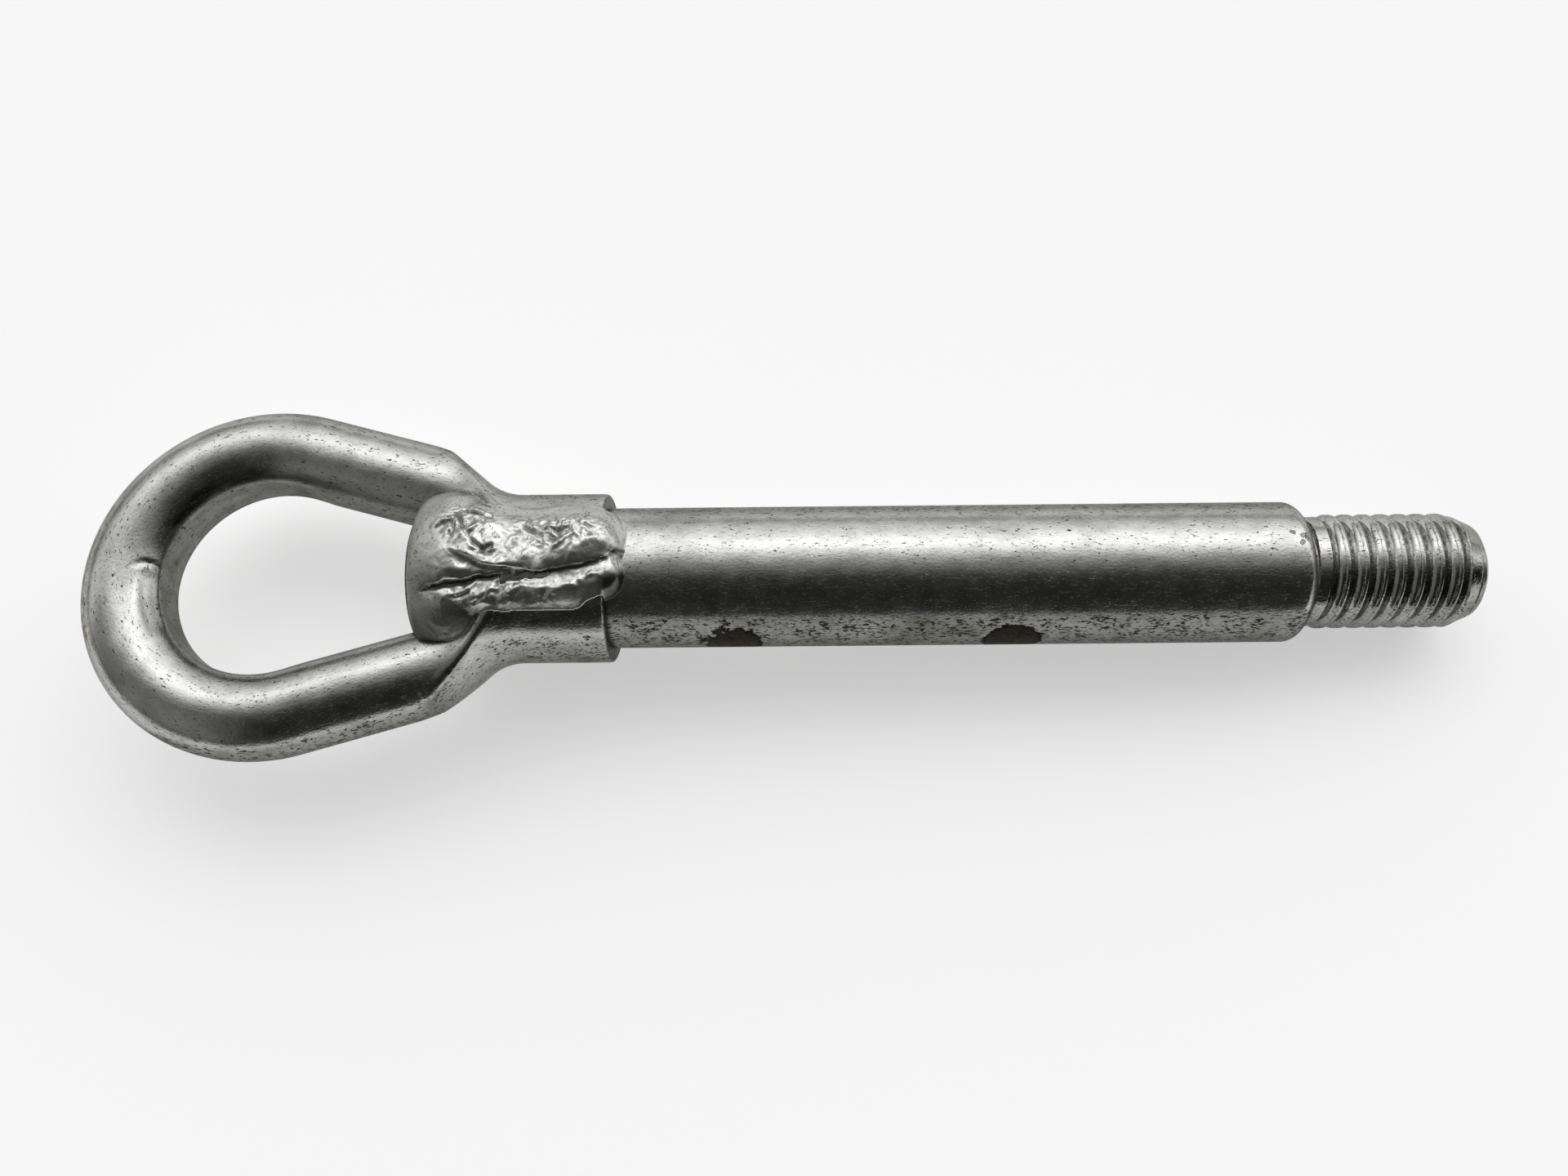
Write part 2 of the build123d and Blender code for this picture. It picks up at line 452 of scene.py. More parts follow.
def loop_material(finish):
    made, tree, shader = blank_material("plated eye")
    place = in_millimetres(tree, "ShaderNodeTexCoord", "Object")
    along = in_millimetres(tree, "ShaderNodeAttribute", "Vector", attribute_name="along_rod")
    distance, offset, _ = parts(along)
    flecks = ramp(offset, -5.2, -4.2, -0.4, 0.32)
    # The stored grime is partly real film and partly painted shade on the eye's low and far sides, inside it
    # and on its end face
    base, rough, metal, height = plated_finish(place, along, stored(tree, "grime"), finish, flecks)
    rough = rough + ramp(parts(place)[1], 4.0, 18.0) * 0.05
    streaks = cloud(stretched(along, 0.25), 0.8, 3.0, 0.6)
    # Painted shade and a painted dark reflection, broken into streaks, in the flecks' colour
    base = mixed(stored(tree, "dark") * ramp(streaks, 0.38, 0.62, 0.45, 1.0), base, rgba(finish.fleck_and_shade))
    rim = ramp(offset, 2.6, 4.4) * ramp(maths("ABSOLUTE", distance), 7.0, 11.0, 1.0, 0.0)
    brown = rim * ramp(cloud(along, 0.9, 4.0, 0.7), 0.42, 0.54, 0.0, 0.8)
    base = mixed(brown, base, rgba(finish.rust, 2.6))
    finish_shader(shader, base, rough, metal, height, PLATING_BUMP)
    return made


def weld_material(finish):
    made, tree, shader = blank_material("plated weld")
    place = in_millimetres(tree, "ShaderNodeTexCoord", "Object")
    grain, mottle = use(tree, "plating grain", Vector=place, Scale=2.2)
    [film] = use(tree, "stain film", Vector=place, Scale=0.3, Cover=0.5, Softness=0.25)
    film = greater(film, ramp(parts(place)[0], *COLLAR_FADE, 1.0, 0.0))
    bright = scaled(tree, tuple(finish.weld), ramp(mottle, 0.25, 0.75, *WELD_TONES))
    # Dirt and painted shade in the hollows, and painted shade along the toe on the low side
    dirt = ramp(stored(tree, "crease"), 0.2, 0.95) * ramp(film, 0.0, 1.0, 0.7, 1.0)
    [flecks] = use(tree, "dirt flecks", Vector=stretched(place, 2.5), Scale=2.6, Cover=0.6)
    dirt = greater(dirt, flecks * 0.7)
    # Painted shade on the low side of the weld
    round_it = vectors("NORMALIZE", stretched(place, 0.0))
    dirt = greater(dirt, ramp(vectors("DOT_PRODUCT", round_it, LOW_SIDE), 0.2, 0.5, 0.0, 0.55))
    base = mixed(ramp(film, 0.0, 1.0, 0.05, 0.32), bright, rgba(finish.stain))
    base = mixed(dirt * 0.85, base, rgba(finish.fleck_and_shade))
    # Painted shade on the outer end, along the crease and by the flare
    base = mixed(stored(tree, "dark"), base, rgba(finish.fleck_and_shade))
    soiled = greater(dirt, film)
    rough = ramp(mottle, 0.2, 0.8, 0.15, 0.27) + soiled * 0.22
    finish_shader(shader, base, rough, 0.9 - soiled * 0.25, grain, WELD_BUMP)
    return made


def link_piece(name, mesh, body, replaced, material):
    """A finished piece: shaded, on its body and the node that it stands for."""
    piece = bpy.data.objects.new(name, mesh)
    bpy.context.scene.collection.objects.link(piece)
    mesh.materials.clear()
    mesh.materials.append(material)
    mesh.shade_smooth()
    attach(piece, body)
    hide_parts(replaced)
    return piece


# The turned shaft's rings: radius of the first and last in millimetres, where the neck starts past the
# shoulder, and how many rings each stretch has
CENTRE_RING = 1.5
NECK_START = 0.05
END_RINGS = 6
ROUND_RINGS = 6
BAR_RINGS = 82
SHOULDER_RINGS = 9
THREAD_RINGS = 280
TIP_RINGS = 5


def shaft_profile(sizes):
    """Places and radii of the shaft's rings in millimetres, from the inner end to the tip."""
    start, tip = shaft_low.x / MM, shaft_high.x / MM
    bar = sizes.bar_radius / MM
    inner_round = sizes.inner_round / MM
    shoulder_round = sizes.shoulder_round / MM
    neck, neck_end = sizes.neck_radius / MM, sizes.neck_length / MM
    tip_radius = sizes.tip_radius / MM
    chamfer_x = tip - sizes.tip_length / MM
    lead_x = chamfer_x - sizes.lead_length / MM
    rings = [(start, radius) for radius in np.linspace(CENTRE_RING, bar - inner_round, END_RINGS)]
    for turn in np.radians(np.linspace(15, 90, ROUND_RINGS)):
        rings.append((start + inner_round * (1 - math.cos(turn)), bar - inner_round * (1 - math.sin(turn))))
    for x in np.linspace(start + inner_round, -shoulder_round, BAR_RINGS)[1:]:
        rings.append((x, bar))
    for turn in np.radians(np.linspace(10, 90, SHOULDER_RINGS)):
        rings.append((shoulder_round * (math.sin(turn) - 1), bar - shoulder_round * (1 - math.cos(turn))))
    rings.append((NECK_START, neck))
    turned = [NECK_START, neck_end, neck_end + thread_radius - neck, lead_x, chamfer_x, tip]
    radii = [neck, neck, thread_radius, thread_radius, sizes.lead_radius / MM, tip_radius]
    for x in np.linspace(NECK_START, tip, THREAD_RINGS)[1:]:
        rings.append((x, float(np.interp(x, turned, radii))))
    rings.extend((tip, radius) for radius in np.linspace(tip_radius, CENTRE_RING, TIP_RINGS)[1:])
    return rings


def turned_mesh(name, rings, segments):
    """A closed solid of revolution round the X axis, with a centre point at each end."""
    turns = np.linspace(0, 2 * math.pi, segments, endpoint=False)
    points = [(rings[0][0], 0.0, 0.0)]
    for x, radius in rings:
        points.extend((x, radius * math.sin(turn), radius * math.cos(turn)) for turn in turns)
    points.append((rings[-1][0], 0.0, 0.0))
    faces = []
    last = len(points) - 1
    for k in range(segments):
        after = (k + 1) % segments
        faces.append((0, 1 + k, 1 + after))
        base = 1 + (len(rings) - 1) * segments
        faces.append((last, base + after, base + k))
        for ring in range(len(rings) - 1):
            low = 1 + ring * segments
            faces.append((low + k, low + segments + k, low + segments + after, low + after))
    mesh = bpy.data.meshes.new(name)
    mesh.from_pydata([(x * MM, y * MM, z * MM) for x, y, z in points], [], faces)
    outward(mesh)
    return mesh


def outward(mesh):
    made = bmesh.new()
    made.from_mesh(mesh)
    bmesh.ops.recalc_face_normals(made, faces=made.faces)
    made.to_mesh(mesh)
    made.free()
    mesh.validate()
    mesh.update()


# Form of the rolled thread: how broad its crests are, the width of the seam along a crest as a share of
# the pitch, then in millimetres the seam's depth, the wear of the crests, and the thread's start and fade
CREST_POWER = 2.9
CREST_SEAM = 0.08
SEAM_DEPTH = 0.14
CREST_WEAR = 0.05
THREAD_START = 0.1
THREAD_FADE = 0.9

# Faces that meet at more than this angle keep a sharp edge
SHAFT_SHARP = math.radians(40)


def thread_tree():
    """Rolls a left-hand thread into a turned blank: crests along a helix, roots between them."""
    tree = bpy.data.node_groups.new("rolled thread", "GeometryNodeTree")
    lengths = ("Pitch", "Crest radius", "Root radius", "Crest place", "Start", "Fade")
    kinds = {"Geometry": "NodeSocketGeometry"}
    kinds.update(dict.fromkeys(lengths, "NodeSocketFloat"))
    kinds["Material"] = "NodeSocketMaterial"
    sockets = {}
    for label, kind in kinds.items():
        sockets[label] = tree.interface.new_socket(name=label, in_out="INPUT", socket_type=kind)
    tree.interface.new_socket(name="Geometry", in_out="OUTPUT", socket_type="NodeSocketGeometry")
    outputs = tree.nodes.new("NodeGroupInput").outputs
    given = {label: Field(tree, outputs[label]) for label in kinds}
    place = field(tree, "GeometryNodeInputPosition", 0)
    x, y, z = parts(place)
    radius = vectors("LENGTH", field(tree, "ShaderNodeCombineXYZ", 0, {1: y, 2: z}))
    turn = maths("ARCTAN2", y, z) / (2 * math.pi)
    phase = (x - given["Crest place"]) / given["Pitch"] - turn + 0.5
    off_crest = maths("ABSOLUTE", maths("FRACT", phase) - 0.5)
    sunk = maths("POWER", off_crest * 2.0, CREST_POWER)
    seam = ramp(off_crest, 0.0, CREST_SEAM, 1.0, 0.0) * (SEAM_DEPTH * MM)
    crest = given["Crest radius"] - cloud(place, 900.0) * (CREST_WEAR * MM)
    rolled = crest - sunk * (crest - given["Root radius"]) - seam
    share = ramp(x, given["Start"], given["Start"] + given["Fade"])
    change = (maths("MINIMUM", rolled, radius) - radius) * share
    scale = (radius + change) / greater(radius, 0.01 * MM)
    moved = field(tree, "ShaderNodeCombineXYZ", 0, {0: x, 1: y * scale, 2: z * scale})
    compared = {0: x, 1: given["Start"]}
    on_thread = field(tree, "FunctionNodeCompare", 0, compared, data_type="FLOAT", operation="GREATER_THAN")
    to_move = {"Geometry": given["Geometry"], "Selection": on_thread, "Position": moved}
    placed = field(tree, "GeometryNodeSetPosition", 0, to_move)
    real = field(tree, "GeometryNodeRealizeInstances", 0, {"Geometry": placed})
    dressed = field(tree, "GeometryNodeSetMaterial", 0, {"Geometry": real, "Material": given["Material"]})
    return give(tree, dressed), sockets


def modified(mesh, kind, settings, inputs=()):
    """The plain mesh that a modifier makes of a mesh."""
    carrier = bpy.data.objects.new("carrier", mesh)
    bpy.context.scene.collection.objects.link(carrier)
    modifier = carrier.modifiers.new("modifier", kind)
    for name, value in settings.items():
        setattr(modifier, name, value)
    for socket, value in inputs:
        modifier[socket.identifier] = value
    graph = bpy.context.evaluated_depsgraph_get()
    made = bpy.data.meshes.new_from_object(carrier.evaluated_get(graph))
    carrier.modifiers.remove(modifier)
    bpy.data.objects.remove(carrier)
    return made


class TOWEYE_OT_shaft(bpy.types.Operator):
    """Turn the shaft and roll its thread"""

    bl_idname = "tow_eye.shaft"
    bl_label = "Shaft"

    def execute(self, context):
        sizes = context.scene.tow_eye_shaft
        material = shaft_material(context.scene.tow_eye_finish, sizes)
        blank = turned_mesh("shaft_blank", shaft_profile(sizes), sizes.segments)
        tree, sockets = thread_tree()
        values = {
            "Pitch": sizes.pitch,
            "Crest radius": sizes.crest_radius,
            "Root radius": sizes.root_radius,
            "Crest place": sizes.crest_place,
            "Start": THREAD_START * MM,
            "Fade": THREAD_FADE * MM,
            "Material": material,
        }
        inputs = [(sockets[label], value) for label, value in values.items()]
        mesh = modified(blank, "NODES", {"node_group": tree}, inputs)
        if len(mesh.polygons) != len(blank.polygons):
            raise RuntimeError("the thread tree did not give back the turned blank")
        mesh.name = "shaft_turned"
        link_piece("shaft_turned", mesh, "root", "shaft", material)
        mesh.set_sharp_from_angle(angle=SHAFT_SHARP)
        return {"FINISHED"}


def smooth_max(a, b, soft):
    near = np.clip(soft - np.abs(a - b), 0, None) / soft
    return np.maximum(a, b) + near * near * soft / 4


def smooth_min(a, b, soft):
    return -smooth_max(-a, -b, soft)


def hump(value, middle, half, power=2):
    """One at the middle, falling off on both sides, the more squarely the higher the power."""
    return np.exp(-(((value - middle) / half) ** power))


def rise(value, start, span):
    """Goes from nought to one over a span."""
    return np.clip((value - start) / span, 0, 1)


# Softness in millimetres of the run from the rod into the spread metal, of the sleeve's end and of the
# mandrel's flat
SPREAD_SOFT = 2.2
END_SOFT = 0.7
MANDREL_SOFT = 0.25


class LoopForm:
    """The pressed eye as a signed distance in millimetres, negative inside the metal."""

    def __init__(self, sizes, bar_radius):
        self.rod = sizes.rod_radius / MM
        self.bend = sizes.bend_radius / MM
        self.bend_x = sizes.bend_x / MM
        self.end_x = loop_high.x / MM
        self.cut_x = self.end_x - sizes.end_trim / MM
        self.upper_cut_x = self.end_x - sizes.upper_end_trim / MM
        self.bar = bar_radius / MM
        self.bar_end = shaft_low.x / MM
        self.sleeve = self.bar + sizes.sleeve_wall / MM
        self.mandrel = self.bend - self.rod + sizes.mandrel_bite / MM
        self.flare_x = self.end_x - sizes.flare_reach / MM
        self.flare_angle = sizes.flare_angle
        self.blend = sizes.flare_blend / MM
        self.full_x = self.end_x - sizes.spread_full / MM
        self.start_x = self.end_x - sizes.spread_start / MM
        self.start_width = sizes.spread_width / MM / 2
        self.half_gap = sizes.seam_gap / MM / 2
        self.crease = sizes.crease / MM
        meet_x = self.end_x - sizes.meet_reach / MM
        reach = math.hypot(meet_x - self.bend_x, self.bar)
        self.leg_angle = math.asin(self.bend / reach) - math.atan2(self.bar, meet_x - self.bend_x)
        self.leg = math.sqrt(reach**2 - self.bend**2)

    def along_rod(self, points):
        """The rod laid straight: distance along it from the bend's far side, offset outwards, height."""
        x, y, z = points.T
        dx, dy = x - self.bend_x, np.abs(y)
        run = dx * math.cos(self.leg_angle) - dy * math.sin(self.leg_angle)
        on_leg = run > 0
        beside = dx * math.sin(self.leg_angle) + dy * math.cos(self.leg_angle)
        offset = np.where(on_leg, beside, np.hypot(dx, dy)) - self.bend
        turned = np.arctan2(dy, -dx)
        distance = np.where(on_leg, self.bend * (math.pi / 2 + self.leg_angle) + run, self.bend * turned)
        return np.stack([np.sign(y) * distance, offset, z], axis=1), np.where(on_leg, run, 0.0)

    def mouth(self, x, radius):
        """The bell mouth of the dies."""
        rise = math.tan(self.flare_angle / 2) * self.blend
        dx, dr = x - (self.flare_x + rise), radius - (self.sleeve + self.blend)
        cos, sin = math.cos(self.flare_angle), math.sin(self.flare_angle)
        straight = self.blend + dx * sin + dr * cos
        curved = self.blend - np.hypot(dx, dr)
        return np.where(dx >= 0, radius - self.sleeve, np.where(dr * sin - dx * cos > 0, straight, curved))

    def rod_and_spread(self, points):
        """The round rod, and the metal that the dies spread from it."""
        x, _, z = points.T
        straight, run = self.along_rod(points)
        past_end = np.clip(run - self.leg, 0, None)
        rod = np.sqrt(straight[:, 1] ** 2 + z**2 + past_end**2) - self.rod
        width = np.interp(x, [self.start_x, self.full_x], [self.start_width, self.sleeve])
        lean = math.atan2(self.sleeve - self.start_width, self.full_x - self.start_x)
        spread = np.maximum((np.abs(z) - width) * math.cos(lean), self.start_x - x)
        return rod, spread

    def __call__(self, points):
        x, y, z = points.T
        radius = np.hypot(y, z)
        form = smooth_min(*self.rod_and_spread(points), SPREAD_SOFT)
        form = smooth_max(form, self.mouth(x, radius), self.crease)
        form = smooth_max(form, x - np.where(y > 0, self.upper_cut_x, self.cut_x), END_SOFT)
        form = np.maximum(form, -np.maximum(radius - self.bar, self.bar_end - x))
        form = np.maximum(form, -np.maximum(np.abs(y) - self.half_gap, self.start_x - x))
        return smooth_max(form, self.mandrel - np.hypot(x - self.bend_x, y), MANDREL_SOFT)

    def settle(self, points, rounds=5, step=0.02, most_move=0.4, least_slope=0.25):
        """Moves points on to the form's surface."""
        for _ in range(rounds):
            value = self(points)
            ways = [(self(points + way) - self(points - way)) / (2 * step) for way in step * np.eye(3)]
            slope = np.stack(ways, axis=1)
            size = np.clip((slope**2).sum(1), least_slope, None)
            points = points - slope * (np.clip(value, -most_move, most_move) / size)[:, None]
        return points


def even_skin(node_name, step):
    """A merged copy of a node, with an even skin."""
    mesh = frame["nodes"][node_name].data.copy()
    made = bmesh.new()
    made.from_mesh(mesh)
    bmesh.ops.remove_doubles(made, verts=made.verts, dist=0.001 * MM)
    made.to_mesh(mesh)
    made.free()
    return modified(mesh, "REMESH", {"mode": "VOXEL", "voxel_size": step})


def mesh_values(mesh, name):
    """The points of a mesh or the way they face."""
    values = np.empty(len(mesh.vertices) * 3, np.float32)
    mesh.vertices.foreach_get(name, values)
    return values.reshape(-1, 3).astype(float)


def set_mesh_points(mesh, points):
    mesh.vertices.foreach_set("co", (points * MM).astype(np.float32).ravel())
    mesh.update()


def store(mesh, name, values):
    """Keeps a value at each point of a mesh for its material."""
    mesh.attributes.new(name, "FLOAT", "POINT").data.foreach_set("value", values.astype(np.float32))


# Marks of the bending tool inside the far bend: depth in millimetres, the nick's half width, then middle,
# half width and squareness along the rod in millimetres and round it in degrees
NICK_DEPTH = 0.23
NICK_HALF = 0.36
NICK_ANGLE = (45, 16, 4)
STRIP_DEPTH = 0.22
STRIP_PLACE = (-5.5, 6.0, 6)
STRIP_ANGLE = (49, 12, 4)

# The nick is bowed: its place along the rod in millimetres and how far it falls back, then the angle round
# the rod at which it is foremost and the angle over which it falls back that far
NICK_BOW = (1.9, 0.9, 46, 18)

# Film on the low side of the eye, partly real grime and partly painted shade, by place along the shaft in
# millimetres: where it starts, and its share
FILM_EDGE = [(-114, -108), (0.53, 0.58)]
FILM_SHARE = [(-119, -115, -111, -106), (0.9, 0.35, 0.35, 0.75)]

# Painted dark reflection, a streak inside the bend, by distance along the rod in millimetres, then its
# middle, half width and squareness round the rod in degrees
STREAK = [(5, 11, 24, 30, 43, 48), (0, 0.9, 0.9, 0.5, 0.5, 0)]
STREAK_ANGLE = (50, 10, 4)

# Painted dark band of shade under the front weld: its share, its middle, half width and squareness round the
# shaft in degrees, then its start and fade along the shaft in millimetres
BAND_SHARE = 0.55
BAND_ANGLE = (-47, 9, 4)
BAND_FADE = (-113, 3)

# In millimetres, the reach of the painted shade where the rod and the spread metal meet, the offset from the
# rod's middle line at which the grime and painted shade inside the eye start, and how far from the sleeve's
# end the painted shade on its end face reaches
CROTCH_REACH = 0.9
INSIDE_START = 4.4
END_REACH = 2

# Shares of the film on the far side, partly real grime and partly painted shade, and of the painted shade
# inside, where forms meet and on the upper and lower end
FAR_FILM = 0.7
INSIDE_DARK = 0.4
CROTCH_DARK = 0.6
END_DARK = (0.4, 0.85)

# Fewer points than this mean that the skin failed
LEAST_SKIN = 1000

# Faces that meet at more than this angle keep a sharp edge
LOOP_SHARP = math.radians(50)


def round_rod(straight):
    """Angle round the rod in degrees, from its top towards the inside of the bend."""
    return np.degrees(np.arctan2(-straight[:, 1], straight[:, 2]))


def tool_marked(points, facing, form):
    """Presses in the nick and the flat strip that the bending tool leaves inside the far bend."""
    straight, _ = form.along_rod(points)
    distance, _, height = straight.T
    angle = round_rod(straight)
    place, fall, foremost, span = NICK_BOW
    bow = place - fall * ((angle - foremost) / span) ** 2
    nick = hump(distance, bow, NICK_HALF) * hump(angle, *NICK_ANGLE)
    strip = hump(distance, *STRIP_PLACE) * hump(angle, *STRIP_ANGLE)
    depth = np.where(height > 0, NICK_DEPTH * nick + STRIP_DEPTH * strip, 0.0)
    return points - facing * depth[:, None]


def loop_dirt_and_shade(points, straight, facing, form):
    """Grime and painted shade on the eye: grime, partly painted shade, on three sides and at its end, and
    painted shade and a painted dark reflection inside, at its end and where its forms meet.
    """
    x, y, z = points.T
    # Grime that is partly painted shade: inside the eye, on its far side, on its end face and on its low side
    inside = rise(-straight[:, 1], INSIDE_START, 1.0)
    far = rise(facing[:, 1], 0.6, 0.25) * FAR_FILM
    end_face = rise(facing[:, 0], 0.5, 0.3) * (x > form.end_x - END_REACH)
    film = rise(facing @ np.array(LOW_SIDE), np.interp(x, *FILM_EDGE), 0.14) * np.interp(x, *FILM_SHARE)
    # Painted shade where the forms meet, inside the eye and on the end faces, a painted dark reflection in a
    # streak inside the bend, and a painted dark band of shade under the weld
    rod, spread = form.rod_and_spread(points)
    crotch = np.exp(-(rod**2 + spread**2) / CROTCH_REACH**2)
    end_shade = end_face * np.where(y > 0, *END_DARK)
    streak = np.interp(straight[:, 0], *STREAK) * hump(round_rod(straight), *STREAK_ANGLE)
    band = BAND_SHARE * hump(np.degrees(np.arctan2(y, z)), *BAND_ANGLE) * rise(x, *BAND_FADE)
    dark = np.maximum.reduce([INSIDE_DARK * inside, CROTCH_DARK * crotch, end_shade, streak, band])
    return np.maximum.reduce([film, far, inside, end_face]), dark


class TOWEYE_OT_loop(bpy.types.Operator):
    """Bend the rod and press its legs round the shaft"""

    bl_idname = "tow_eye.loop"
    bl_label = "Eye"

    def execute(self, context):
        sizes = context.scene.tow_eye_loop
        form = LoopForm(sizes, context.scene.tow_eye_shaft.bar_radius)
        mesh = even_skin("eye_loop", sizes.skin)
        if len(mesh.vertices) < LEAST_SKIN:
            raise RuntimeError("the eye's skin came out empty")
        points = form.settle(mesh_values(mesh, "co") / MM)
        set_mesh_points(mesh, points)
        points = tool_marked(points, mesh_values(mesh, "normal"), form)
        set_mesh_points(mesh, points)
        mesh.name = "eye_pressed"
        straight, _ = form.along_rod(points)
        rod_place = mesh.attributes.new("along_rod", "FLOAT_VECTOR", "POINT")
        rod_place.data.foreach_set("vector", (straight * MM).astype(np.float32).ravel())
        # Grime that is partly painted shade, and painted shade
        grime, dark = loop_dirt_and_shade(points, straight, mesh_values(mesh, "normal"), form)
        store(mesh, "dark", dark)
        store(mesh, "grime", grime)
        material = loop_material(context.scene.tow_eye_finish)
        link_piece("eye_pressed", mesh, "root", "eye_loop", material)
        mesh.set_sharp_from_angle(angle=LOOP_SHARP)
        return {"FINISHED"}


# Each bead: side of the shaft, share of the waist, then its pools from the inner one outwards as reach from
# the sleeve's end in millimetres, lean from the seam's middle in degrees, radius and crown in millimetres
BEADS = {
    "weld_front_upper": (1, 1.0, [(17.5, 14.0, 7.0, 12.95), (3.1, 13.0, 6.2, 12.85)]),
    "weld_front_lower": (
        1,
        0.15,
        [(17.5, -26.0, 3.7, 12.5), (4.6, -23.5, 3.8, 12.5), (0.9, -16.5, 3.2, 12.3)],
    ),
    "weld_back_upper": (-1, 1.0, [(17.5, 17.0, 6.2, 12.95), (3.5, 15.0, 4.5, 12.9)]),
    "weld_back_lower": (-1, 1.0, [(17.5, -19.0, 4.5, 12.85), (3.0, -17.0, 4.5, 12.95)]),
}

# Low bed of metal under both beads of a side, given as a bead is
BED = [(19.5, -4.0, 5.4, 12.5), (3.6, -6.0, 4.6, 12.4)]

# Line along which the two beads of a side meet: places along the shaft in millimetres, angles in degrees
CREASES = {
    1: [
        *((-122.0, -27), (-116.6, -23), (-110.4, -17.5), (-104.6, -16), (-102.1, -14)),
        *((-96.9, -10.5), (-95.1, -8), (-94.0, -5), (-92.9, 1), (-90.0, 5)),
    ],
    -1: [(-122.0, -2), (-112.0, -1), (-106.0, -4), (-99.0, 0), (-88.0, -2)],
}

# Crumpled places on each side: place along the shaft in millimetres and angle in degrees, then reach along
# and round the shaft in millimetres and how deep the crumpling is
CRUMPLES = {
    1: [
        (-112.8, 20, 3.6, 2.8, 1.0),
        (-101.0, 12, 5.4, 2.3, 1.0),
        (-110.5, -25, 5.5, 1.8, 0.45),
        (-99.5, -20, 7.0, 1.6, 0.22),
    ],
    -1: [(-111.0, 16, 5.0, 2.8, 0.9), (-98.5, 14, 4.5, 2.2, 0.8), (-104.5, -17, 9.0, 2.2, 0.8)],
}

# Marks on the front beads: kind, width and height in millimetres, then places as distance along the shaft in
# millimetres and angle from its top in degrees
UPPER_FOLD = [(-112.7, -3), (-111.5, -5), (-109.9, -9), (-107.3, -11), (-104.7, -13.3), (-102.1, -14)]
UPPER_STEP = [
    *((-95.7, 9), (-96.7, 6), (-97.6, 3), (-99.3, 6)),
    *((-100.5, 4), (-101.4, 6), (-102.1, 1), (-103.5, 0)),
]
FRONT_MARKS = {
    "weld_front_upper": [
        ("slit", 0.3, 0.55, [(-114.1, 27), (-113.3, 22), (-112.7, 15)]),
        ("slit", 0.3, 0.5, [(-113.0, 30), (-111.7, 27), (-109.4, 22)]),
        ("slit", 0.25, 0.4, [(-116.2, 17), (-115.6, 19), (-114.6, 20), (-114.0, 17)]),
        ("slit", 0.25, 0.3, [(-114.0, 15), (-114.0, 11), (-114.6, 11)]),
        ("step", 0.35, 0.3, [(-108.1, 31), (-108.4, 23), (-109.3, 18), (-111.0, 16), (-112.3, 12)]),
        ("slit", 0.3, 0.4, [(-112.3, 12), (-111.2, 4), (-109.9, 0), (-108.8, 2)]),
        ("slit", 0.2, 0.25, [(-111.3, 6), (-111.1, 3)]),
        ("slit", 0.2, 0.25, [(-110.0, 8), (-109.8, 2)]),
        ("fold", 0.7, 0.5, UPPER_FOLD),
        ("slit", 0.3, 0.3, [(-111.4, -2), (-109.9, -1), (-108.7, -2)]),
        ("ridge", 0.5, 0.35, [(-107.2, -8), (-107.0, -2), (-106.4, 4), (-105.6, 9)]),
        ("slit", 0.3, 0.45, [(-104.9, 17), (-104.0, 14), (-103.3, 10)]),
        ("ridge", 0.3, 0.25, [(-103.8, 22), (-103.3, 10)]),
        ("slit", 0.3, 0.45, [(-102.9, 16), (-101.6, 13), (-100.2, 11), (-98.9, 12)]),
        ("slit", 0.25, 0.35, [(-97.7, 19), (-97.5, 14), (-97.1, 10)]),
        ("slit", 0.25, 0.35, [(-96.7, 16), (-95.9, 13), (-96.0, 9)]),
        ("step", 0.3, 0.3, UPPER_STEP),
        ("slit", 0.25, 0.3, [(-102.8, 8), (-101.5, 9), (-100.5, 8), (-98.5, 10)]),
        ("ridge", 0.3, 0.2, [(-94.1, 13), (-93.4, 12), (-94.4, 10)]),
    ],
    "weld_front_lower": [
        ("ridge", 0.5, 0.3, [(-116.9, -23), (-115.6, -29)]),
        ("slit", 0.35, 0.45, [(-113.4, -30), (-111.7, -27), (-110.8, -24)]),
        ("slit", 0.3, 0.35, [(-110.9, -32), (-108.6, -26)]),
        ("slit", 0.45, 0.5, [(-107.4, -19), (-108.0, -26), (-108.2, -32)]),
        ("ridge", 0.5, 0.3, [(-106.6, -28), (-105.6, -22)]),
        ("ridge", 0.4, 0.3, [(-104.8, -21), (-103.1, -24), (-100.4, -24), (-99.2, -22), (-98.3, -21)]),
        ("ridge", 0.4, 0.3, [(-97.1, -19), (-95.9, -15), (-93.9, -14), (-91.8, -9)]),
        ("slit", 0.35, 0.15, [(-102.3, -30), (-101.4, -25)]),
    ],
}


def line_distance(x, arc, places, radius):
    """Distance of each place from a line drawn along and round the shaft, and how far it lies to its left."""
    line = np.array([(px, math.radians(angle) * radius) for px, angle in places])
    nearest = np.full(x.shape, np.inf)
    across = np.zeros_like(x)
    for start, end in zip(line[:-1], line[1:]):
        run = end - start
        size = math.hypot(*run)
        share = np.clip(((x - start[0]) * run[0] + (arc - start[1]) * run[1]) / size**2, 0, 1)
        off_x, off_arc = x - start[0] - share * run[0], arc - start[1] - share * run[1]
        away = np.hypot(off_x, off_arc)
        beside = ((x - start[0]) * -run[1] + (arc - start[1]) * run[0]) / size
        corner = (np.abs(away - nearest) < 1e-6) & (np.abs(beside) > np.abs(across))
        closer = (away < nearest - 1e-6) | corner
        nearest = np.where(closer, away, nearest)
        across = np.where(closer, beside, across)
    return nearest, across


